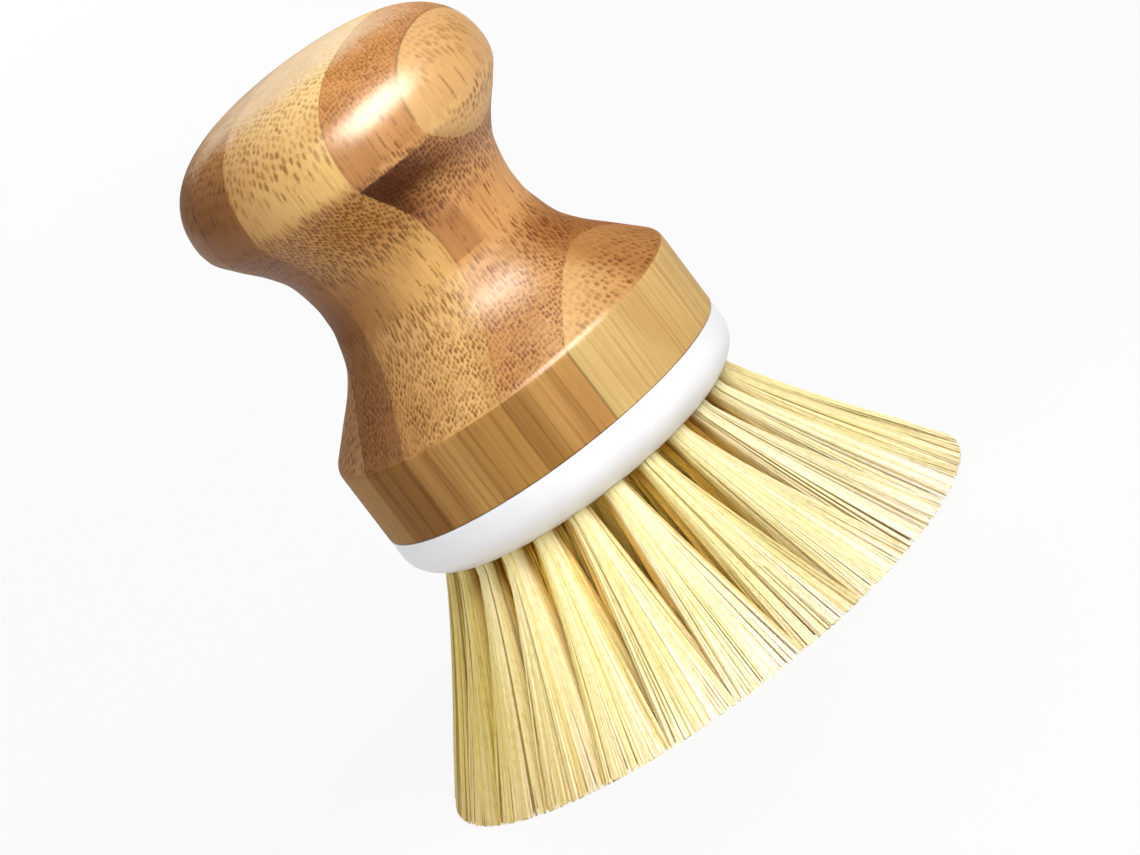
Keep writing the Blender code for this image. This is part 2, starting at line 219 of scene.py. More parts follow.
def handle_profile():
    """The whole handle's outline, down to the recess for the plate's spigot."""
    points = knob_profile()
    shoulder = (FOOT_RADIUS, SHOULDER_LEVEL)
    band_end = (FOOT_RADIUS, FOOT_LEVEL + EDGE_BREAK / 2)
    recess_radius = SPIGOT_RADIUS + CLEARANCE
    recess_level = PLATE_TOP + SPIGOT_HEIGHT + CLEARANCE
    return points + rounded_corner(points[-1], shoulder, band_end, SHOULDER_ROUND) + [
        band_end,
        (FOOT_RADIUS - EDGE_BREAK / 2, FOOT_LEVEL),
        (recess_radius, FOOT_LEVEL),
        (recess_radius, recess_level),
        (0.0, recess_level),
    ]


def plate_profile():
    top = PLATE_TOP + SPIGOT_HEIGHT
    points = [(0.0, top), (SPIGOT_RADIUS - EDGE_BREAK, top), (SPIGOT_RADIUS, top - EDGE_BREAK)]
    points += [(SPIGOT_RADIUS, PLATE_TOP)]
    edge = ((FOOT_RADIUS - 2 * EDGE_BREAK, PLATE_TOP), (FOOT_RADIUS, PLATE_TOP))
    points += rounded_corner(*edge, (FOOT_RADIUS, PLATE_TOP - EDGE_BREAK), EDGE_BREAK / 2)
    for turn in np.linspace(0, math.pi / 2, RIM_POINTS + 1):
        radius = FOOT_RADIUS - RIM_ROUND_WIDTH * (1 - math.cos(turn))
        points.append((radius, BRISTLE_DROP + RIM_ROUND_HEIGHT * (1 - math.sin(turn))))
    return points + [(0.0, BRISTLE_DROP)]


def hole_profile():
    """A blind tuft hole, from its floor down to its own radius past the plate's underside."""
    return [(0.0, HOLE_DEPTH), (HOLE_RADIUS, HOLE_DEPTH), (HOLE_RADIUS, -HOLE_RADIUS), (0.0, -HOLE_RADIUS)]


def screw_room(extra_below):
    """Room for a screw, open below by this length."""
    shank = SCREW_RADIUS + CLEARANCE
    head = SCREW_HEAD_RADIUS + CLEARANCE
    return [
        (0.0, SCREW_LENGTH + CLEARANCE),
        (shank, SCREW_LENGTH - SCREW_POINT + CLEARANCE),
        (shank, SCREW_HEAD_HEIGHT + CLEARANCE),
        (head, SCREW_HEAD_EDGE + CLEARANCE),
        (head, -extra_below),
        (0.0, -extra_below),
    ]


def turned(shape, profile, steps, matrix=Matrix.Identity(4)):
    """Adds a closed solid of revolution, given from the top of its axis down its outer side."""
    rings = []
    for radius, height in profile:
        turns = [2 * math.pi * i / steps for i in range(steps)] if radius > 0 else [0]
        ring = [Vector((radius * math.cos(a), radius * math.sin(a), height)) for a in turns]
        rings.append([shape.verts.new(matrix @ point) for point in ring])
    for upper, lower in zip(rings, rings[1:]):
        for i in range(steps):
            j = (i + 1) % steps
            corners = [upper[i % len(upper)], lower[i % len(lower)]]
            corners += [lower[j % len(lower)], upper[j % len(upper)]]
            corners = list(dict.fromkeys(corners))
            if len(corners) > 2:
                shape.faces.new(corners)


def mesh_of(name, shape):
    bmesh.ops.recalc_face_normals(shape, faces=shape.faces)
    mesh = bpy.data.meshes.new(name)
    shape.to_mesh(mesh)
    shape.free()
    return mesh


def new_object(name, mesh):
    made = bpy.data.objects.new(name, mesh)
    bpy.context.scene.collection.objects.link(made)
    return made


def turned_object(name, profile):
    shape = bmesh.new()
    turned(shape, profile, TURN_STEPS)
    return new_object(name, mesh_of(name, shape))


def cut(body, cutter):
    """Cuts one mesh out of another and removes the cutter."""
    step = body.modifiers.new("Cut", "BOOLEAN")
    step.operation = "DIFFERENCE"
    step.solver = "EXACT"
    step.object = cutter
    bpy.context.view_layer.update()
    result = bpy.data.meshes.new_from_object(body.evaluated_get(bpy.context.evaluated_depsgraph_get()))
    body.modifiers.clear()
    body.data = result
    bpy.data.objects.remove(cutter)


def finish_piece(body, slot, nodes, *materials):
    """Gives a piece its materials and says what it rides on and replaces."""
    body.data.materials.clear()
    for made in materials:
        body.data.materials.append(made)
    body.data.shade_smooth()
    body.data.set_sharp_from_angle(angle=SHARP_EDGE)
    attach(body, "root")
    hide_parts(*nodes)


# Places of tufts and screws


def polar(radius, angle, height=0.0):
    return Vector((radius * math.cos(angle), radius * math.sin(angle), height))


def place_angle(row, place):
    return FIRST_TUFT_ANGLE + 2 * math.pi * place / ROW_PLACES[row]


def is_screw_place(row, place):
    return row == SCREW_ROW and place % SCREW_EVERY == 0


def tip_reach(row):
    """How much farther from the brush's axis a tuft's tips are than its hole's mouth."""
    return (TIP_ROW_RADIUS - OUTER_ROW_RADIUS) * ROW_RADIUS_SHARES[row]


def place_matrix(row, place):
    angle = place_angle(row, place)
    radius = OUTER_ROW_RADIUS * ROW_RADIUS_SHARES[row]
    return Matrix.Translation(polar(radius, angle, BRISTLE_DROP)) @ Matrix.Rotation(angle, 4, "Z")


def lean_matrix(row):
    flare = math.atan(tip_reach(row) / BRISTLE_DROP)
    return Matrix.Rotation(-flare * HOLE_LEAN_SHARE, 4, "Y")


def tuft_places():
    pairs = [(row, place) for row in range(len(ROW_PLACES)) for place in range(ROW_PLACES[row])]
    return [pair for pair in pairs if not is_screw_place(*pair)]


def screw_matrices():
    return [place_matrix(SCREW_ROW, place) for place in range(0, ROW_PLACES[SCREW_ROW], SCREW_EVERY)]


# Handle, plate and screws


def make_handle(finish):
    body = turned_object("bamboo_handle", handle_profile())
    shape = bmesh.new()
    for matrix in screw_matrices():
        turned(shape, screw_room(CLEARANCE), HOLE_STEPS, matrix)
    cut(body, new_object("pilot_holes", mesh_of("pilot_holes", shape)))
    finish_piece(body, "bamboo", ["handle"], finish)


def make_plate(finish):
    body = turned_object("plastic_plate", plate_profile())
    shape = bmesh.new()
    for matrix in screw_matrices():
        turned(shape, screw_room(SCREW_ROOM_BELOW), HOLE_STEPS, matrix)
    for row, place in tuft_places():
        turned(shape, hole_profile(), HOLE_STEPS, place_matrix(row, place) @ lean_matrix(row))
    cut(body, new_object("plate_holes", mesh_of("plate_holes", shape)))
    finish_piece(body, "white_plastic", ["bristle_plate"], finish)


def finish_screws(steel):
    """The screws keep their CAD shape and get the steel."""
    for number in SCREW_NUMBERS:
        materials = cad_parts[f"plate_screw_{number}"].data.materials
        materials.clear()
        materials.append(steel)


# Bristles


def disc_points(random, count, radius):
    """Evenly spread points of a disc, a little shaken."""
    index = np.arange(count)
    reach = radius * np.sqrt((index + 0.5) / count)
    golden_angle = math.pi * (3 - math.sqrt(5))
    turn = index * golden_angle + random.uniform(0, 2 * math.pi)
    points = np.stack([reach * np.cos(turn), reach * np.sin(turn)], 1)
    return points + random.normal(0, radius * FILLING_SHAKE, points.shape)


def section_points(random):
    """Where a tuft's strands stand in its round section of radius 1, with the brush's outside at +X."""
    filling = random.permutation(disc_points(random, STRANDS - SKIN_STRANDS, FILLING_RADIUS))
    turns = np.linspace(-SKIN_SPAN, SKIN_SPAN, SKIN_STRANDS) + random.normal(0, SKIN_SHAKE, SKIN_STRANDS)
    skin = np.stack([np.cos(turns), np.sin(turns)], 1) * random.uniform(*SKIN_RADII, (SKIN_STRANDS, 1))
    return np.vstack([filling, skin])


def gathered(random, points, locks, pull):
    """Draws points towards the nearest of a few centres among them, as strands cling in locks."""
    centres = points[random.choice(len(points), locks, replace=False)]
    nearest = np.argmin(np.linalg.norm(points[:, None] - centres[None], axis=2), axis=1)
    return points + (centres[nearest] - points) * pull


def tip_points(random, section, row):
    """Where the strands of a tuft end, from the middle of its tips."""
    reach = np.linalg.norm(section, axis=1, keepdims=True)
    farther_side = np.abs(section).max(axis=1, keepdims=True)
    stretch = np.minimum(reach / np.maximum(farther_side, TINY), CORNER_STRETCH)
    tip = section * (1 + (stretch - 1) * CORNER_SHARE)
    tip = gathered(random, tip, TIP_LOCKS, TIP_PULL) + random.normal(0, TIP_SHAKE, tip.shape)
    strays = random.random(STRANDS) < STRAY_SHARE
    tip[strays] += random.normal(0, STRAY_REACH, (strays.sum(), 2))
    width_share = ROW_PLACES[0] * ROW_RADIUS_SHARES[row] / ROW_PLACES[row]
    return np.clip(tip, -TIP_LIMIT, TIP_LIMIT) * (TIP_HALF_DEPTH, TIP_HALF_WIDTH * width_share)


def cut_levels(random):
    """How far above the table each strand of a tuft ends."""
    level = random.uniform(0, TUFT_CUT_SPREAD) + np.abs(random.normal(0, STRAND_CUT_SPREAD, STRANDS))
    level[random.random(STRANDS) < LEVEL_SHARE] = 0
    return level


def strand_lines(random, section, row):
    """Centre lines of a tuft's strands, with its hole's mouth at the origin and outwards along +X."""
    up = np.array(lean_matrix(row).to_3x3()) @ np.array([0, 0, 1.0])
    root = np.column_stack([section * ROOT_RING, np.zeros(STRANDS)])
    inside = root + up * ROOT_INSIDE
    mouth = root - up * ROOT_OUTSIDE
    tip = tip_points(random, section, row)
    end = np.column_stack([tip[:, 0] + tip_reach(row), tip[:, 1], cut_levels(random) - BRISTLE_DROP])
    straight_on = mouth - up * BEND_DROP_SHARE * BRISTLE_DROP
    direct = mouth * (1 - BEND_DROP_SHARE) + end * BEND_DROP_SHARE
    shake = random.normal(0, BEND_SHAKE, mouth.shape)
    bend = straight_on * BEND_SHARE + direct * (1 - BEND_SHARE) + shake
    lines = [inside]
    for t in np.linspace(0, 1, STRAND_RINGS - 1):
        lines.append(mouth * (1 - t) ** 2 + bend * 2 * t * (1 - t) + end * t ** 2)
    return np.stack(lines, 1)


def strand_tones(random, section):
    """Each strand's tone, 0 for the darkest."""
    offsets = section[:, None] - section[None, :TONE_LOCKS]
    lock = np.argmin(np.linalg.norm(offsets, axis=2), axis=1)
    lock_tone = random.random(TONE_LOCKS)[lock]
    tone = LOCK_TONE_SHARE * lock_tone + (1 - LOCK_TONE_SHARE) * random.random(STRANDS)
    tone = LEAST_TONE + (1 - LEAST_TONE) * tone
    tone[random.random(STRANDS) < DARK_STRAND_SHARE] = 0
    return tone


def strand_faces(count, rings):
    """Sides and ends of closed rods, whose points come strand by strand and ring by ring."""
    start = np.arange(count)[:, None, None] * rings * STRAND_SIDES
    upper = start + np.arange(rings - 1)[None, :, None] * STRAND_SIDES
    lower = upper + STRAND_SIDES
    here = np.arange(STRAND_SIDES)[None, None, :]
    after = (here + 1) % STRAND_SIDES
    sides = np.stack([upper + here, upper + after, lower + after, lower + here], -1)
    ends = []
    for first in range(0, count * rings * STRAND_SIDES, rings * STRAND_SIDES):
        last = first + (rings - 1) * STRAND_SIDES
        ends.append([first + i for i in range(STRAND_SIDES)][::-1])
        ends.append([last + i for i in range(STRAND_SIDES)])
    return sides.reshape(-1, 4).tolist() + ends


def strand_mesh(random, lines):
    """Points and faces of flattened rods round the centre lines, with a ring at each of their points."""
    count, rings = lines.shape[:2]
    along = np.gradient(lines, axis=1)
    along /= np.linalg.norm(along, axis=2, keepdims=True)
    along[:, -1] = (0, 0, -1)
    side = np.cross(along, (0, 1.0, 0))
    side /= np.linalg.norm(side, axis=2, keepdims=True)
    other = np.cross(along, side)
    spin = random.uniform(0, math.pi, count)[:, None, None]
    wide = side * np.cos(spin) + other * np.sin(spin)
    thin = other * np.cos(spin) - side * np.sin(spin)
    radius = random.uniform(*STRAND_RADII, count)[:, None, None]
    flatness = random.uniform(*STRAND_FLATNESS, count)[:, None, None]
    growth = np.linspace(*STRAND_GROWTH, rings)[None, :, None]
    sides = []
    for turn in 2 * math.pi * np.arange(STRAND_SIDES) / STRAND_SIDES:
        offset = wide * math.cos(turn) + thin * flatness * math.sin(turn)
        sides.append(lines + radius * growth * offset)
    points = np.stack(sides, 2)
    points[:, -1, :, 2] = lines[:, -1, None, 2]
    return points.reshape(-1, 3), strand_faces(count, rings)


def with_anchor(points, faces, lean):
    """Adds the flat wire that the strands are folded over, inside the hole."""
    corners = [(x, y, z) for x in (-1, 1) for y in (-1, 1) for z in (-1, 1)]
    half = np.array(ANCHOR_SIZE) / 2
    wire = (np.array(corners) * half + (0, 0, ANCHOR_LEVEL)) @ lean.T
    sides = [(0, 1, 3, 2), (4, 6, 7, 5), (0, 4, 5, 1), (2, 3, 7, 6), (0, 2, 6, 4), (1, 5, 7, 3)]
    start = len(points)
    return np.vstack([points, wire]), faces + [[start + i for i in side] for side in sides]


def kept_in_brush(points):
    """Pulls points that lie past the spread of the tips or below the table back onto them."""
    reach = np.linalg.norm(points[:, :2], axis=1, keepdims=True)
    points[:, :2] *= np.minimum(1, SPREAD_RADIUS / np.maximum(reach, TINY))
    points[:, 2] = np.maximum(points[:, 2], 0)
    return points


def add_strand_values(mesh, section, tones):
    """Stores each strand's tone and depth, and how far along the strand a point is, for the material."""
    per_strand = STRAND_RINGS * STRAND_SIDES
    depth = np.clip((SHALLOW_PLACE - section[:, 0]) / DEPTH_SPAN, 0, 1)
    along = np.repeat(np.linspace(0, 1, STRAND_RINGS), STRAND_SIDES)
    values = (
        ("strand_tone", np.repeat(tones, per_strand)),
        ("strand_along", np.tile(along, STRANDS)),
        ("strand_depth", np.repeat(depth, per_strand)),
    )
    for label, on_strands in values:
        everywhere = np.zeros(len(mesh.vertices), np.float32)
        everywhere[:len(on_strands)] = on_strands
        mesh.attributes.new(label, "FLOAT", "POINT").data.foreach_set("value", everywhere)


def make_tuft(random, row, place, fibre, steel):
    section = section_points(random)
    lines = strand_lines(random, section, row)
    tones = strand_tones(random, section)
    points, faces = strand_mesh(random, lines)
    strand_face_count = len(faces)
    points, faces = with_anchor(points, faces, np.array(lean_matrix(row).to_3x3()))
    matrix = np.array(place_matrix(row, place))
    points = kept_in_brush(points @ matrix[:3, :3].T + matrix[:3, 3])
    name = f"{ROW_NAMES[row]}_{place + 1:02d}"
    mesh = bpy.data.meshes.new(f"bristles_{name}")
    mesh.from_pydata(points.tolist(), [], faces)
    add_strand_values(mesh, section, tones)
    body = new_object(f"bristles_{name}", mesh)
    finish_piece(body, "plant_fibre", [f"tuft_{name}"], fibre, steel)
    for face in mesh.polygons[strand_face_count:]:
        face.material_index = 1
    return body


def make_tufts(fibres, steel):
    """Makes every tuft and gathers those behind the outer row in a collection of their own."""
    inner_tufts = bpy.data.collections.new("inner_tufts")
    for row, place in tuft_places():
        random = np.random.default_rng((SEED, row, place))
        body = make_tuft(random, row, place, fibres[row], steel)
        if row:
            inner_tufts.objects.link(body)
    return inner_tufts


# Building blocks of materials


class Nodes:
    """Builds a material's node tree. A value given to an input is a socket, a number or a tuple."""

    def __init__(self, name):
        self.material = bpy.data.materials.new(name)
        self.material.use_nodes = True
        self.tree = self.material.node_tree
        self.shader = self.tree.nodes["Principled BSDF"]

    def set(self, socket, value):
        if isinstance(value, bpy.types.NodeSocket):
            self.tree.links.new(value, socket)
        else:
            socket.default_value = value

    def add(self, kind, inputs=(), **settings):
        node = self.tree.nodes.new(f"ShaderNode{kind}")
        for key, value in settings.items():
            setattr(node, key, value)
        for key, value in dict(inputs).items():
            self.set(node.inputs[key], value)
        return node

    def math(self, operation, *values, clamp=False):
        return self.add("Math", dict(enumerate(values)), operation=operation, use_clamp=clamp).outputs[0]

    def product(self, first, *others):
        for other in others:
            first = self.math("MULTIPLY", first, other)
        return first

    def opposite(self, value):
        return self.math("SUBTRACT", 1.0, value)

    def vector(self, operation, *values):
        return self.add("VectorMath", dict(enumerate(values)), operation=operation).outputs[0]

    def scaled(self, vector, *factors):
        return self.vector("MULTIPLY", vector, factors)

    def parts(self, vector):
        return self.add("SeparateXYZ", {0: vector}).outputs

    def millimetres(self):
        """Places on the surface in millimetres, in the brush's frame."""
        return self.scaled(self.add("TexCoord").outputs["Object"], 1000, 1000, 1000)

    def rise(self, value, low, high):
        """0 below low, 1 above high and smooth between them. With low over high it falls instead."""
        inputs = {"Value": value, "From Min": low, "From Max": high}
        return self.add("MapRange", inputs, interpolation_type="SMOOTHSTEP").outputs["Result"]

    def band(self, value, low, high, soft_low, soft_high):
        """1 between low and high, with soft edges of their own widths."""
        up = self.rise(value, low - soft_low / 2, low + soft_low / 2)
        down = self.rise(value, high + soft_high / 2, high - soft_high / 2)
        return self.math("MULTIPLY", up, down)

    def spread(self, value, low, high):
        """A value between 0 and 1 as one between low and high."""
        inputs = {"Value": value, "To Min": low, "To Max": high}
        return self.add("MapRange", inputs).outputs["Result"]

    def noise(self, vector, scale, detail=2.0, rough=0.5, output="Fac"):
        inputs = {"Vector": vector, "Scale": scale, "Detail": detail, "Roughness": rough}
        return self.add("TexNoise", inputs).outputs[output]

    def shake(self, vector, scale, detail, reach):
        """Small offsets level with the table, up to half the reach to each side."""
        offsets = self.vector("SUBTRACT", self.noise(vector, scale, detail, output="Color"), (0.5, 0.5, 0.5))
        return self.scaled(offsets, reach, reach, 0)

    def ramp(self, value, stops):
        node = self.add("ValToRGB", {"Fac": value})
        ramp = node.color_ramp
        ramp.interpolation = "LINEAR"
        while len(ramp.elements) > 1:
            ramp.elements.remove(ramp.elements[-1])
        ramp.elements[0].position = stops[0][0]
        ramp.elements[0].color = stops[0][1]
        for place, colour in stops[1:]:
            ramp.elements.new(place).color = colour
        return node.outputs["Color"]

    def mix(self, factor, first, second, blend="MIX"):
        """Two colours mixed. The node's colour sockets share names with others, so they go by number."""
        inputs = {0: factor, 6: first, 7: second}
        return self.add("Mix", data_type="RGBA", blend_type=blend, inputs=inputs).outputs[2]

    def tinted(self, factor, colour, tint):
        """The colour multiplied by a tint as far as the factor says."""
        return self.mix(factor, colour, (*tint, 1), "MULTIPLY")

    def bump(self, height, distance, strength):
        node = self.add("Bump", {"Height": height, "Distance": distance, "Strength": strength})
        self.set(self.shader.inputs["Normal"], node.outputs["Normal"])

    def finish(self, **values):
        """Sets the shader's inputs, with low lines for the spaces in their names."""
        for key, value in values.items():
            self.set(self.shader.inputs[key.replace("_", " ")], value)
        return self.material


def grey(value):
    return (value, value, value, 1)


# Bamboo. The block is glued from strips. Their joints are planes across u, a direction level with the
# table that is turned from +X by this angle. Each strip: where it ends along u in millimetres, its
# colour at its start and end, how dense its pores are there, and how dark the joint at its end is. The
# first three strips, on the left as the camera sees them, are dark brown partly in their own tone and
# partly as painted shade of the side that the lamps light least.
STRIP_TURN = math.radians(31)
STRIPS = (
    (-21.6, (144, 98, 50), (142, 96, 48), 0.6, 0.3, 0.4),
    (-13.6, (146, 104, 56), (142, 100, 54), 0.35, 0.3, 0.5),
    (-5.5, (122, 76, 32), (124, 80, 38), 0.7, 0.5, 0.3),
    (10.0, (168, 122, 68), (206, 163, 96), 1.0, 0.7, 0.5),
    (18.8, (202, 152, 94), (190, 138, 80), 0.6, 1.0, 0.85),
    (27.5, (204, 160, 100), (198, 148, 88), 0.1, 0.5, 0.5),
)
STRIP_SPAN = 56.0
STRIP_STOP_GAP = 0.0001
JOINT_WIDTH_BEFORE = 0.16
JOINT_WIDTH_AFTER = 0.12
JOINT_TINT = (0.30, 0.22, 0.16)

# Between the foot's band and the head, the joints past this place along u don't show
NO_JOINT_HEIGHTS = (46.2, 80.5, 0.2, 1.0)
NO_JOINT_PLACE = (14.0, 15.0)

# Places where a strip's colour changes along the grain, and places of painted light and shade: (from,
# to, soft edge, soft edge) along u, the same for the height, and the tint. The one with the darkest tint
# is the growth node under the head, deepened by painted shade under the head. Painted shade and a
# painted reflection are marked where they stand.
PATCHES = (
    ((10.0, 18.8, 0.05, 0.05), (79.0, 99.0, 1.0, 0.1), (0.90, 0.82, 0.74)),
    ((10.0, 14.5, 0.05, 2.0), (79.0, 88.0, 1.0, 3.0), (0.80, 0.75, 0.68)),
    ((10.0, 13.2, 0.05, 0.9), (61.7, 79.0, 0.3, 1.0), (0.74, 0.64, 0.56)),
    ((13.2, 18.8, 0.3, 0.05), (61.0, 79.0, 3.0, 1.0), (1.06, 1.04, 1.03)),
    ((-5.5, 10.0, 0.05, 0.05), (46.2, 60.0, 0.1, 4.0), (1.05, 1.10, 1.24)),
    # A growth node under the head, partly its own dark tone and partly painted shade under the head; the
    # next line deepens its lower end
    ((10.0, 17.5, 0.05, 7.0), (72.5, 77.8, 5.0, 0.4), (0.19, 0.09, 0.05)),
    ((10.0, 11.6, 0.05, 2.0), (69.5, 74.0, 3.0, 4.0), (0.5, 0.38, 0.30)),
    ((18.8, 30.0, 3.0, 0.1), (71.0, 79.0, 5.0, 2.0), (1.16, 1.20, 1.22)),
    ((-30.0, -13.6, 0.05, 0.05), (46.0, 60.0, 0.1, 4.0), (1.24, 1.4, 2.1)),
    # Painted shade: the leftmost strip is darker on the head, on the side that the lamps light least
    ((-30.0, -13.6, 0.05, 0.05), (79.0, 90.0, 4.0, 4.0), (0.78, 0.68, 0.55)),
    # Painted reflection: the top of the head is lighter, as if its varnish mirrored the pale backdrop
    ((-13.6, -5.5, 0.05, 0.05), (88.0, 99.0, 5.0, 0.1), (1.5, 1.6, 1.7)),
    ((-13.6, -5.5, 0.05, 0.05), (46.0, 60.0, 0.1, 4.0), (1.28, 1.5, 2.3)),
    ((-13.6, -5.5, 0.05, 0.05), (66.0, 79.0, 4.0, 4.0), (1.25, 1.22, 0.9)),
    # Painted shade under the head and on the neck below it, where the head shades the wood
    ((-5.5, 10.0, 0.05, 5.0), (66.0, 79.0, 8.0, 3.0), (0.90, 0.84, 0.72)),
    ((2.0, 10.0, 3.0, 0.05), (69.0, 79.0, 5.0, 2.0), (0.86, 0.78, 0.78)),
    ((-5.5, 2.0, 0.05, 6.0), (60.0, 68.0, 4.0, 6.0), (0.70, 0.62, 0.58)),
    ((-5.5, 10.0, 0.05, 0.05), (79.0, 87.0, 2.0, 4.0), (1.06, 1.14, 1.20)),
    # Painted reflection: these three make the top of the head lighter, as if it mirrored the pale backdrop
    ((-5.5, 10.0, 0.05, 0.05), (88.5, 99.0, 5.0, 0.1), (1.36, 1.58, 2.1)),
    ((10.0, 18.8, 0.05, 0.05), (84.0, 99.0, 4.0, 0.1), (1.12, 1.10, 1.10)),
    ((18.8, 30.0, 0.05, 0.05), (84.0, 99.0, 8.0, 0.1), (1.08, 1.06, 1.1)),
    # Painted shade: darker on the flare where the gloss lamp's highlight falls, which tones that highlight
    # down
    ((8.0, 16.0, 2.0, 4.0), (46.0, 59.0, 0.1, 4.0), (0.82, 0.74, 0.64)),
    ((-30.0, -13.6, 0.05, 0.05), (20.0, 45.9, 0.1, 0.1), (1.18, 1.28, 1.2)),
    ((-13.6, -5.5, 0.05, 0.05), (20.0, 45.9, 0.1, 0.1), (1.1, 1.26, 0.96)),
    ((-5.5, 2.0, 0.05, 6.0), (20.0, 45.9, 0.1, 0.1), (0.86, 0.88, 0.80)),
    ((2.0, 13.4, 6.0, 2.5), (20.0, 45.9, 0.1, 0.1), (0.60, 0.53, 0.38)),
    ((10.0, 18.8, 0.05, 2.0), (20.0, 45.9, 0.1, 0.1), (0.82, 0.86, 0.70)),
    ((18.8, 30.0, 0.05, 0.1), (20.0, 45.9, 0.1, 0.1), (1.0, 1.20, 1.26)),
)

# The dark right of the foot, above its band: heights with soft edges, then places away from the camera
# and along u
RIGHT_FOOT_HEIGHTS = (45.9, 60.0, 0.1, 5.0)
RIGHT_FOOT_DEPTH = (-7.0, -1.0)
RIGHT_FOOT_PLACE = (13.0, 17.0)
RIGHT_FOOT_TINT = (0.66, 0.52, 0.40)

# The top of the head, made pale by a painted reflection of the pale backdrop: radii with a ragged edge,
# and heights. The varnish there is dull.
TOP_REFLECTION_SHAPE = (0.7, 1.0, 0.0)
TOP_REFLECTION_RADII = (20.0, 10.5)
TOP_REFLECTION_HEIGHTS = (88.0, 89.0)
TOP_REFLECTION_EDGE_NOISE = (0.35, 4.0, 0.65)
TOP_REFLECTION_EDGE_REACH = 9.0
TOP_REFLECTION_COLOUR = (228, 208, 180)
TOP_REFLECTION_SHARE = 0.62
TOP_REFLECTION_PORES_LEFT = 0.2
DULL_HEIGHTS = (88.0, 90.5)
DULL_VARNISH_LEFT = 0.25

# Pores: two layers of cells, the first for sparse strips and the second for crowded ones. Each: spacing,
# turn, and the distances from a pore's middle, in shares of the spacing, where it ends and where it is full.
PORE_LAYERS = ((0.92, 0.35, 0.52, 0.26), (0.55, 0.85, 0.62, 0.28))
PORE_CELL_SHAPE = (1.2, 0.88)
PORE_CELL_SHAKE = 0.55
PORE_SIZE_SPREAD = 0.16
PORE_STRENGTHS = (0.6, 1.2)
PORE_TINT = (0.42, 0.30, 0.20)
RAGGED_SCALE = 4.0
RAGGED_REACH = 0.35

# Where the surface slopes this much the grain ends in it and shows as dots, and elsewhere as dashes. Along
# the grain a pore comes and goes over a few millimetres.
END_GRAIN_SLOPES = (0.05, 0.3)
DASH_THINNING = -0.1
CELL_NUMBER_SPAN = 40
DASH_GRAIN = 0.4
DASH_THRESHOLDS = (0.6, 0.66)
DENSE_DASHES = 0.1
HEAD_SIDE_HEIGHTS = (79.5, 85.0, 1.0, 2.0)
HEAD_SIDE_DASHES = 0.08

# Where the pores are crowded, sparse or stronger
DOTTED_TOP_HEIGHTS = (85.5, 87.5)
DOTTED_TOP_PLACE = (9.9, 10.1)
SPARSE_HEIGHTS = (78.0, 82.0)
SPARSE_THINNING = -0.55
CROWDED_DENSITIES = (0.4, 0.65)
BARE_DENSITIES = (0.0, 0.35)
PORE_ROWS_HEIGHTS = (67.0, 78.5, 4.0, 2.0)
PORE_ROWS_STRENGTH = 1.1
PATCHY_GRAIN = (0.35, 0.35, 0.12)
PATCHY_THRESHOLDS = (0.3, 0.6)
PATCHY_STRENGTHS = (0.4, 0.95)
PORES_START = (46.0, 46.4)
HEAD_HEIGHTS = (79.0, 84.0)
HEAD_PORES_LEFT = 0.8

# The band's streaks along the grain
BROAD_STREAK_GRAIN = (0.8, 0.8, 0.01)
BROAD_STREAK_THRESHOLDS = (0.5, 0.75)
BROAD_STREAK_SHARE = 0.6
FINE_STREAK_GRAIN = (2.6, 2.6, 0.03)
FINE_STREAK_THRESHOLDS = (0.52, 0.66)
FINE_STREAK_SHARE = 0.42
STREAK_TINT = (0.62, 0.50, 0.38)

# Fine fibres everywhere, and a broad variation of tone
FIBRE_GRAIN = (2.6, 2.6, 0.05)
DARK_FIBRES = (0.5, 0.85)
DARK_FIBRE_TINT = (0.72, 0.62, 0.5)
PALE_FIBRES = (0.5, 0.2)
PALE_FIBRE_TINT = (1.12, 1.12, 1.12)
BROAD_GRAIN = (0.09, 0.09, 0.05)
BROAD_THRESHOLDS = (0.45, 0.75)
BROAD_TINT = (0.88, 0.82, 0.74)
WOBBLE_GRAIN = (0.12, 0.12, 0.06)
WOBBLE_REACH = 0.5

# Relief and varnish
FIBRE_RELIEF = 0.25
PORE_RELIEF = 0.6
WOOD_BUMP = (0.04 * MM, 0.5)
WOOD_ROUGHNESS = (0.36, 0.5)
WOOD_ROUGHNESS_NOISE = (0.25, 4.0, 0.6)
VARNISH_HEIGHTS = (60.0, 70.0)
VARNISH_WEIGHTS = (0.22, 0.42)
VARNISH_IOR = 1.7
VARNISH_ROUGHNESS = 0.34


def strip_place(along):
    return (along + STRIP_SPAN / 2) / STRIP_SPAN


def strip_stops():
    """Colour, density of pores and darkness of joints along u, as ramp stops."""
    colours, density, joints = [], [], []
    start = -STRIP_SPAN / 2
    for end, first_colour, last_colour, first_density, last_density, joint in STRIPS:
        first = strip_place(start) + STRIP_STOP_GAP
        last = strip_place(end) - STRIP_STOP_GAP
        colours += [(first, shade_of(*first_colour)), (last, shade_of(*last_colour))]
        density += [(first, grey(first_density)), (last, grey(last_density))]
        joints.append((strip_place(end - JOINT_WIDTH_BEFORE), grey(0)))
        joints.append((strip_place(end), grey(joint)))
        joints.append((strip_place(end + JOINT_WIDTH_AFTER), grey(0)))
        start = end
    return colours, density, joints


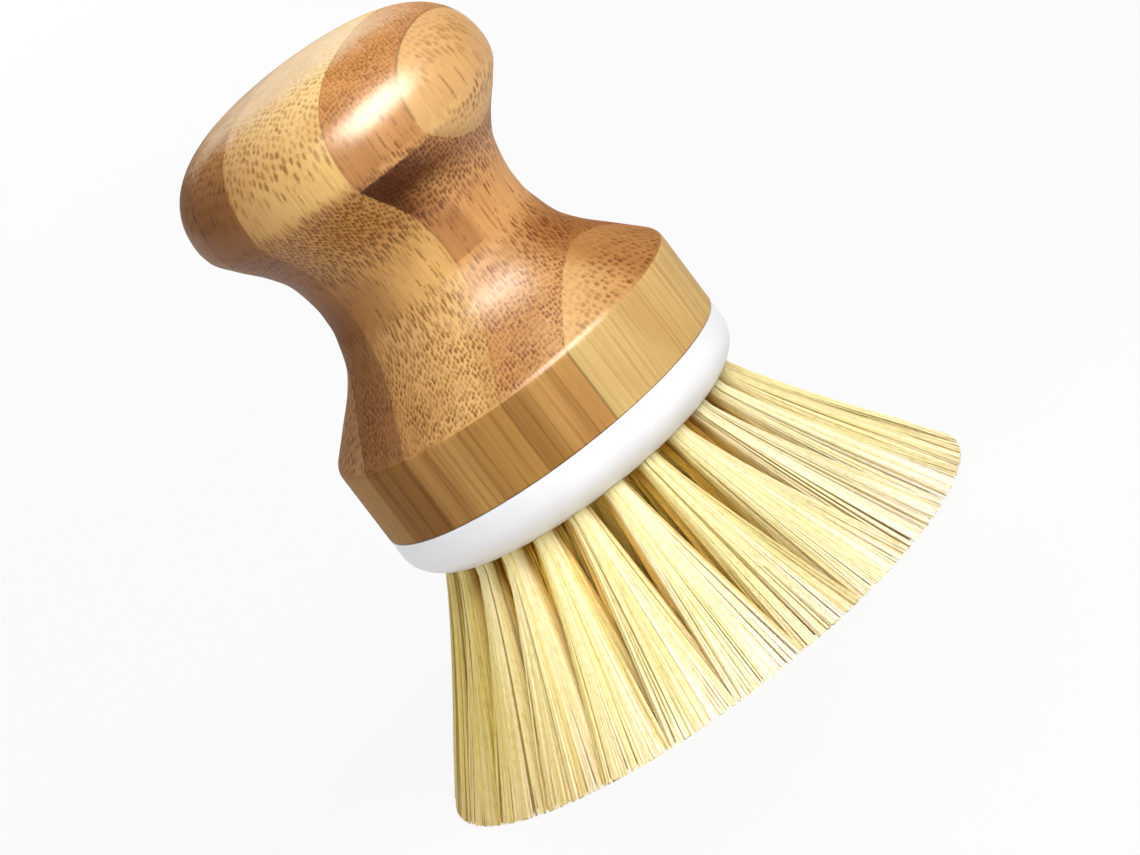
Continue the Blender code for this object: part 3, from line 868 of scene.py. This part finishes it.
class Bamboo(Nodes):
    """Varnished bamboo, coloured step by step. Its axes are u, the direction level with it, and height."""

    def __init__(self):
        super().__init__("bamboo_varnished")
        self.place = self.millimetres()
        straight = self.add("Mapping", {"Vector": self.place, "Rotation": (0, 0, STRIP_TURN)}).outputs[0]
        wobble = self.shake(self.scaled(self.place, *WOBBLE_GRAIN), 1.0, 2.0, WOBBLE_REACH)
        self.grain = self.vector("ADD", straight, wobble)
        self.across, self.depth, self.height = self.parts(straight)
        slope = self.parts(self.add("NewGeometry").outputs["Normal"])[2]
        self.end_grain = self.rise(self.math("ABSOLUTE", slope), *END_GRAIN_SLOPES)

    def tint(self, factor, tint):
        self.colour = self.tinted(factor, self.colour, tint)

    def lay_strips(self):
        colours, density, joints = strip_stops()
        where = self.math("MULTIPLY_ADD", self.across, 1 / STRIP_SPAN, 0.5)
        self.colour = self.ramp(where, colours)
        self.dense = self.ramp(where, density)
        unseen = self.band(self.height, *NO_JOINT_HEIGHTS)
        unseen = self.product(unseen, self.rise(self.across, *NO_JOINT_PLACE))
        self.joint = self.product(self.ramp(where, joints), self.opposite(unseen))

    def tint_patches(self):
        for places, heights, tint in PATCHES:
            self.tint(self.product(self.band(self.across, *places), self.band(self.height, *heights)), tint)
        right_foot = self.product(
            self.band(self.height, *RIGHT_FOOT_HEIGHTS),
            self.rise(self.depth, *RIGHT_FOOT_DEPTH),
            self.rise(self.across, *RIGHT_FOOT_PLACE),
        )
        self.tint(right_foot, RIGHT_FOOT_TINT)

    # Painted reflection of the pale backdrop on the top of the head, which also thins its pores there
    def paint_top_reflection(self):
        stretched = self.scaled(self.place, *TOP_REFLECTION_SHAPE)
        radius = self.add("VectorMath", {0: stretched}, operation="LENGTH").outputs["Value"]
        ragged = self.noise(self.place, *TOP_REFLECTION_EDGE_NOISE)
        radius = self.math("MULTIPLY_ADD", ragged, TOP_REFLECTION_EDGE_REACH, radius)
        self.top_reflection = self.product(self.rise(radius, *TOP_REFLECTION_RADII), self.rise(self.height, *TOP_REFLECTION_HEIGHTS))
        self.colour = self.mix(self.product(self.top_reflection, TOP_REFLECTION_SHARE), self.colour, shade_of(*TOP_REFLECTION_COLOUR))

    def dashes(self, chance, other_chance):
        """Where along the grain a cell's pore shows as dashes, by the cell's own two random numbers."""
        line = self.add("CombineXYZ", {
            0: self.product(chance, CELL_NUMBER_SPAN),
            1: self.product(other_chance, CELL_NUMBER_SPAN),
            2: self.product(self.height, DASH_GRAIN),
        })
        dash = self.noise(line.outputs[0], 1.0, detail=1.0)
        dash = self.math("MULTIPLY_ADD", self.dense, DENSE_DASHES, dash)
        head_side = self.band(self.height, *HEAD_SIDE_HEIGHTS)
        dash = self.math("MULTIPLY_ADD", head_side, HEAD_SIDE_DASHES, dash)
        return self.rise(dash, *DASH_THRESHOLDS)

    def pore_layer(self, places, spacing, turn, outside, inside):
        """How much of a pore is at each place: dots in end grain, and here and there dashes elsewhere."""
        wide, deep = PORE_CELL_SHAPE
        inputs = {"Vector": places, "Rotation": (0, 0, turn), "Scale": (wide / spacing, deep / spacing, 0)}
        cells = self.add("Mapping", inputs).outputs[0]
        inputs = {"Vector": cells, "Scale": 1.0, "Randomness": PORE_CELL_SHAKE}
        cell = self.add("TexVoronoi", inputs, voronoi_dimensions="2D")
        chance, other_chance, _ = self.parts(cell.outputs["Color"])
        edge = self.math("MULTIPLY_ADD", chance, PORE_SIZE_SPREAD, cell.outputs["Distance"])
        edge = self.math("SUBTRACT", edge, self.spread(self.end_grain, DASH_THINNING, 0.0))
        dot = self.product(self.rise(edge, outside, inside), self.spread(other_chance, *PORE_STRENGTHS))
        return self.product(dot, self.math("MAXIMUM", self.end_grain, self.dashes(chance, other_chance)))

    def pore_strength(self):
        """How strongly pores show, from place to place."""
        patchy = self.noise(self.scaled(self.grain, *PATCHY_GRAIN), 1.0)
        patchy = self.spread(self.rise(patchy, *PATCHY_THRESHOLDS), *PATCHY_STRENGTHS)
        rows = self.product(self.band(self.height, *PORE_ROWS_HEIGHTS), PORE_ROWS_STRENGTH)
        return self.product(
            self.math("MAXIMUM", patchy, rows),
            self.rise(self.height, *PORES_START),
            self.spread(self.rise(self.height, *HEAD_HEIGHTS), 1.0, HEAD_PORES_LEFT),
            self.spread(self.top_reflection, 1.0, TOP_REFLECTION_PORES_LEFT),
        )

    def draw_pores(self):
        places = self.vector("ADD", self.grain, self.shake(self.place, RAGGED_SCALE, 1.0, RAGGED_REACH))
        sparse_layer, crowded_layer = [self.pore_layer(places, *layer) for layer in PORE_LAYERS]
        dotted_top = self.product(
            self.rise(self.height, *DOTTED_TOP_HEIGHTS), self.rise(self.across, *DOTTED_TOP_PLACE)
        )
        sparse = self.product(self.rise(self.height, *SPARSE_HEIGHTS), self.opposite(dotted_top))
        crowded = self.math("MULTIPLY_ADD", sparse, SPARSE_THINNING, self.dense)
        crowded = self.rise(crowded, *CROWDED_DENSITIES)
        few = self.product(sparse_layer, self.opposite(crowded), self.rise(self.dense, *BARE_DENSITIES))
        pores = self.math("MULTIPLY_ADD", crowded_layer, crowded, few)
        self.pores = self.product(pores, self.pore_strength())
        self.tint(self.pores, PORE_TINT)

    def draw_streaks(self):
        """Streaks of the straight band under the shoulder."""
        broad = self.noise(self.scaled(self.grain, *BROAD_STREAK_GRAIN), 1.0)
        broad = self.rise(broad, *BROAD_STREAK_THRESHOLDS)
        fine = self.noise(self.scaled(self.grain, *FINE_STREAK_GRAIN), 1.0, detail=3.0, rough=0.6)
        fine = self.rise(fine, *FINE_STREAK_THRESHOLDS)
        streaks = self.math("MULTIPLY_ADD", fine, FINE_STREAK_SHARE, self.product(broad, BROAD_STREAK_SHARE))
        on_band = self.rise(self.height, *reversed(PORES_START))
        self.tint(self.math("MULTIPLY", streaks, on_band, clamp=True), STREAK_TINT)

    def draw_fibres(self):
        self.fibres = self.noise(self.scaled(self.grain, *FIBRE_GRAIN), 1.0, detail=3.0, rough=0.6)
        self.tint(self.rise(self.fibres, *DARK_FIBRES), DARK_FIBRE_TINT)
        self.tint(self.rise(self.fibres, *PALE_FIBRES), PALE_FIBRE_TINT)
        broad = self.noise(self.scaled(self.place, *BROAD_GRAIN), 1.0)
        self.tint(self.rise(broad, *BROAD_THRESHOLDS), BROAD_TINT)
        self.tint(self.joint, JOINT_TINT)

    def varnished(self):
        relief = self.product(self.fibres, FIBRE_RELIEF)
        relief = self.math("SUBTRACT", relief, self.product(self.pores, PORE_RELIEF))
        self.bump(relief, *WOOD_BUMP)
        varnish = self.spread(self.rise(self.height, *VARNISH_HEIGHTS), *VARNISH_WEIGHTS)
        dull = self.spread(self.rise(self.height, *DULL_HEIGHTS), 1.0, DULL_VARNISH_LEFT)
        return self.finish(
            Base_Color=self.colour,
            Roughness=self.spread(self.noise(self.place, *WOOD_ROUGHNESS_NOISE), *WOOD_ROUGHNESS),
            Specular_IOR_Level=0.0,
            Coat_Weight=self.product(varnish, dull),
            Coat_IOR=VARNISH_IOR,
            Coat_Roughness=VARNISH_ROUGHNESS,
        )


def bamboo():
    wood = Bamboo()
    wood.lay_strips()
    wood.tint_patches()
    wood.paint_top_reflection()
    wood.draw_pores()
    wood.draw_streaks()
    wood.draw_fibres()
    return wood.varnished()


# Plastic and steel
PLASTIC_TONES = ((228, 228, 231), (223, 224, 227))
PLASTIC_CLOUDS = (0.35, 0.7)
PLASTIC_BUMP = (0.02 * MM, 0.25)
PLASTIC_ROUGHNESS = (0.3, 0.42)
ZINC_TONES = ((176, 178, 180), (205, 206, 206))
ZINC_BUMP = (0.02 * MM, 0.4)
ZINC_ROUGHNESS = (0.28, 0.5)


def white_plastic():
    n = Nodes("white_plastic_moulded")
    place = n.millimetres()
    clouds = n.noise(place, 0.15, detail=3.0)
    fine = n.noise(place, 3.0, detail=3.0, rough=0.6)
    first, second = PLASTIC_TONES
    colour = n.mix(n.rise(clouds, *PLASTIC_CLOUDS), shade_of(*first), shade_of(*second))
    n.bump(fine, *PLASTIC_BUMP)
    return n.finish(Base_Color=colour, Roughness=n.spread(fine, *PLASTIC_ROUGHNESS))


def zinc_steel():
    n = Nodes("zinc_plated_steel")
    spangle = n.noise(n.millimetres(), 1.8, detail=3.0, rough=0.7)
    dark, pale = ZINC_TONES
    colour = n.mix(spangle, shade_of(*dark), shade_of(*pale))
    n.bump(spangle, *ZINC_BUMP)
    return n.finish(Base_Color=colour, Roughness=n.spread(spangle, *ZINC_ROUGHNESS), Metallic=1.0)


# Plant fibre: its colour by the strands' tones, 0 to 1
FIBRE_TONES = (
    (0.0, (166, 148, 84)),
    (0.06, (207, 190, 114)),
    (0.28, (228, 213, 142)),
    (0.55, (237, 225, 171)),
    (0.8, (242, 232, 193)),
    (1.0, (238, 221, 171)),
)
FIBRE_STREAK_GRAIN = (1.6, 1.6, 0.25)
FIBRE_STREAKS = (0.45, 0.75)
FIBRE_STREAK_TINT = (0.86, 0.83, 0.66)

# Painted shade in a tuft's depth, gold as from light that passed through the fibres: its strength at the
# roots and at the tips, between which shares of a strand's length it changes, how strong it is on the
# tuft's outside, and its tint. Where a value is a pair of kinds, the first is for the outer row and the
# second for the rows behind it.
SHADE_AT_ROOTS = 1.0
SHADE_AT_TIPS = (0.7, 0.85)
SHADE_RUN = (0.1, 0.75)
SHADE_OUTSIDE = (0.05, 0.8)
DEPTH_SHADE_TINTS = ((0.81, 0.57, 0.12), (0.82, 0.54, 0.10))

# Near the roots the painted shade of the depth is darker still
ROOT_SHADE_RUN = (0.36, 0.16)
ROOT_SHADE_TINT = (0.5, 0.38, 0.24)

# Places from the brush's left, negative, to its right where the fibre's colour changes, in millimetres.
# All are painted light: the painted shade of the depth fades on the right, where the lamps fall
# strongest, painted shade darkens the left, the side that the lamps light least, and the right is toned
# down a little under the strongest light.
DEPTH_SHADE_FADE_PLACE = (14.0, 30.0)
DEPTH_SHADE_FADE_SHARE = 0.35
LEFT_SHADE_PLACE = (-12.0, -30.0)
LEFT_SHADE_TINT = (0.76, 0.69, 0.46)
RIGHT_DIMMING_PLACE = (0.0, 16.0)
RIGHT_DIMMING_TINT = (0.88, 0.88, 0.92)

# Painted light: the tips are lighter, from this share of a strand's length, against the shade between
# their spread strands
TIP_LIGHT_RUN = (0.72, 1.0)
TIP_LIGHT_TINT = (1.09, 1.06, 1.27)

# Relief and sheen of the fibre
FIBRE_BUMP_GRAIN = (9, 9, 1.2)
FIBRE_BUMP = (0.03 * MM, 0.5)
FIBRE_ROUGHNESS = (0.42, 0.55)


def fibre_depth_shade(n, kind, along, sideways):
    """How strongly the painted shade of the tuft's depth, in gold, shows on its strands; it fades on the
    brush's right.
    """
    inward = n.add("Attribute", attribute_name="strand_depth").outputs["Fac"]
    start, end = SHADE_RUN
    inputs = {"Value": along, "From Min": start, "From Max": end}
    inputs |= {"To Min": SHADE_AT_ROOTS, "To Max": SHADE_AT_TIPS[kind]}
    return n.product(
        n.add("MapRange", inputs).outputs["Result"],
        n.spread(inward, SHADE_OUTSIDE[kind], 1.0),
        n.spread(n.rise(sideways, *DEPTH_SHADE_FADE_PLACE), 1.0, DEPTH_SHADE_FADE_SHARE),
    )


def plant_fibre(row):
    n = Nodes(f"plant_fibre_{ROW_NAMES[row]}")
    kind = min(row, 1)
    tone = n.add("Attribute", attribute_name="strand_tone").outputs["Fac"]
    along = n.add("Attribute", attribute_name="strand_along").outputs["Fac"]
    place = n.millimetres()
    sideways = n.parts(place)[0]
    streaks = n.noise(n.scaled(place, *FIBRE_STREAK_GRAIN), 1.0, detail=3.0, rough=0.6)
    depth = fibre_depth_shade(n, kind, along, sideways)
    colour = n.ramp(tone, [(where, shade_of(*shade)) for where, shade in FIBRE_TONES])
    colour = n.tinted(n.rise(streaks, *FIBRE_STREAKS), colour, FIBRE_STREAK_TINT)
    # Painted shade: gold in the tuft's depth, and on the next line darker still near the roots
    colour = n.tinted(depth, colour, DEPTH_SHADE_TINTS[kind])
    colour = n.tinted(n.product(depth, n.rise(along, *ROOT_SHADE_RUN)), colour, ROOT_SHADE_TINT)
    # Painted shade on the left, and the right toned down a little under the strongest light
    colour = n.tinted(n.rise(sideways, *LEFT_SHADE_PLACE), colour, LEFT_SHADE_TINT)
    colour = n.tinted(n.rise(sideways, *RIGHT_DIMMING_PLACE), colour, RIGHT_DIMMING_TINT)
    # Painted light: lighter tips
    colour = n.tinted(n.rise(along, *TIP_LIGHT_RUN), colour, TIP_LIGHT_TINT)
    n.bump(n.noise(n.scaled(place, *FIBRE_BUMP_GRAIN), 1.0), *FIBRE_BUMP)
    return n.finish(Base_Color=colour, Roughness=n.spread(streaks, *FIBRE_ROUGHNESS), Specular_IOR_Level=0.2)


# Camera
CAMERA_PLACE = Vector((0.00145, -0.98006, 0.24944))
CAMERA_DOWNWARD = math.radians(12.49)
CAMERA_ROLL = math.radians(37.13)
CAMERA_CLIP = (0.05, 50)
LENS = 244.02
SENSOR = 36.0


def make_camera():
    camera = bpy.data.cameras.new("camera")
    camera.lens = LENS
    camera.sensor_width = SENSOR
    camera.clip_start, camera.clip_end = CAMERA_CLIP
    body = new_object("camera", camera)
    back = Vector((0, -math.cos(CAMERA_DOWNWARD), math.sin(CAMERA_DOWNWARD)))
    level_up = Vector((0, math.sin(CAMERA_DOWNWARD), math.cos(CAMERA_DOWNWARD)))
    level_right = Vector((1, 0, 0))
    right = level_right * math.cos(CAMERA_ROLL) - level_up * math.sin(CAMERA_ROLL)
    up = level_up * math.cos(CAMERA_ROLL) + level_right * math.sin(CAMERA_ROLL)
    turn = Matrix((right, up, back)).transposed()
    body.matrix_world = Matrix.Translation(CAMERA_PLACE) @ turn.to_4x4()
    bpy.context.scene.camera = body


# Floor and world. The camera sees the floor partly as a glow, which keeps it pale round its soft shadow.
FLOOR_HALF_SIZE = 6
FLOOR_CELLS = 4
FLOOR_COLOUR = (205, 205, 206)
FLOOR_GLOW_SHARE = 0.86
WHITE = (1, 1, 1, 1)
WORLD_DIRECTIONS = (-0.1, 0.9)
WORLD_STRENGTHS = (0.32, 0.42)


def make_floor():
    shape = bmesh.new()
    bmesh.ops.create_grid(shape, x_segments=FLOOR_CELLS, y_segments=FLOOR_CELLS, size=FLOOR_HALF_SIZE)
    floor = new_object("floor", mesh_of("floor", shape))
    n = Nodes("floor_white")
    n.finish(Base_Color=shade_of(*FLOOR_COLOUR), Roughness=0.9, Specular_IOR_Level=0.1)
    glow = n.add("Emission", {"Color": WHITE, "Strength": 1.0})
    path = n.add("LightPath").outputs
    seen = n.math("MAXIMUM", path["Is Glossy Ray"], path["Is Transmission Ray"])
    seen = n.math("MAXIMUM", path["Is Camera Ray"], seen)
    share = n.product(seen, FLOOR_GLOW_SHARE)
    mixed = n.add("MixShader", {0: share, 1: n.shader.outputs[0], 2: glow.outputs[0]})
    output = n.tree.nodes["Material Output"]
    n.tree.links.new(mixed.outputs[0], output.inputs["Surface"])
    floor.data.materials.append(n.material)


def make_world():
    """Even light that grows a little from the horizon to the zenith."""
    world = bpy.data.worlds.new("studio")
    bpy.context.scene.world = world
    world.use_nodes = True
    tree = world.node_tree
    background = tree.nodes["Background"]
    background.inputs["Color"].default_value = WHITE
    direction = tree.nodes.new("ShaderNodeTexCoord")
    parts = tree.nodes.new("ShaderNodeSeparateXYZ")
    strength = tree.nodes.new("ShaderNodeMapRange")
    labels = ("From Min", "From Max", "To Min", "To Max")
    for label, value in zip(labels, WORLD_DIRECTIONS + WORLD_STRENGTHS):
        strength.inputs[label].default_value = value
    tree.links.new(direction.outputs["Generated"], parts.inputs[0])
    tree.links.new(parts.outputs["Z"], strength.inputs["Value"])
    tree.links.new(strength.outputs[0], background.inputs["Strength"])


# Lamps: name, direction from the brush, distance, size, watts and colour. Only the gloss lamp is mirrored
# in the pieces, and it lights nothing else.
LAMP_TARGET = Vector((0, 0, 50 * MM))
GLOSS_LAMP = "gloss"
LAMPS = (
    ("key", (0.5, -0.74, 0.78), 1.0, (0.85, 0.6), 9.6, (1, 1, 1)),
    (GLOSS_LAMP, (0.54, -0.72, 0.78), 1.0, (0.9, 0.6), 72.0, (1.0, 0.93, 0.80)),
    ("front", (0.02, -0.98, 0.2), 1.1, (0.25, 0.25), 2.0, (1, 1, 1)),
    ("back", (0.1, 0.97, 0.5), 1.3, (0.9, 0.9), 10.5, (1, 1, 1)),
    ("left", (-0.9, -0.4, 0.15), 1.3, (0.8, 0.8), 4.2, (1, 1, 1)),
)

# Light for the tufts behind the outer row, which only they block: direction and watts
DEPTH_LAMPS = (((0, -1, 0.2), 8.0), ((1, 0, 0.2), 4.0), ((0, 1, 0.2), 4.0), ((-1, 0, 0.2), 4.0))
DEPTH_LAMP_DISTANCE = 1.1
DEPTH_LAMP_SIZE = (0.3, 0.3)


def area_light(name, direction, distance, size, power, colour=(1, 1, 1)):
    light = bpy.data.lights.new(name, "AREA")
    light.shape = "RECTANGLE"
    light.size, light.size_y = size
    light.energy = power
    light.color = colour
    body = new_object(name, light)
    direction = Vector(direction).normalized()
    body.location = LAMP_TARGET + direction * distance
    body.rotation_mode = "QUATERNION"
    body.rotation_quaternion = direction.to_track_quat("Z", "Y")
    body.visible_glossy = name == GLOSS_LAMP
    body.visible_diffuse = name != GLOSS_LAMP
    return body


def make_lights(inner_tufts):
    for lamp in LAMPS:
        area_light(*lamp)
    for number, (direction, power) in enumerate(DEPTH_LAMPS):
        lamp = area_light(f"depth_{number}", direction, DEPTH_LAMP_DISTANCE, DEPTH_LAMP_SIZE, power)
        lamp.light_linking.receiver_collection = inner_tufts
        lamp.light_linking.blocker_collection = inner_tufts


def main():
    steel = zinc_steel()
    make_handle(bamboo())
    make_plate(white_plastic())
    finish_screws(steel)
    inner_tufts = make_tufts([plant_fibre(row) for row in range(len(ROW_NAMES))], steel)
    make_floor()
    make_world()
    make_lights(inner_tufts)
    make_camera()
    bpy.context.scene.view_settings.view_transform = "Standard"


main()
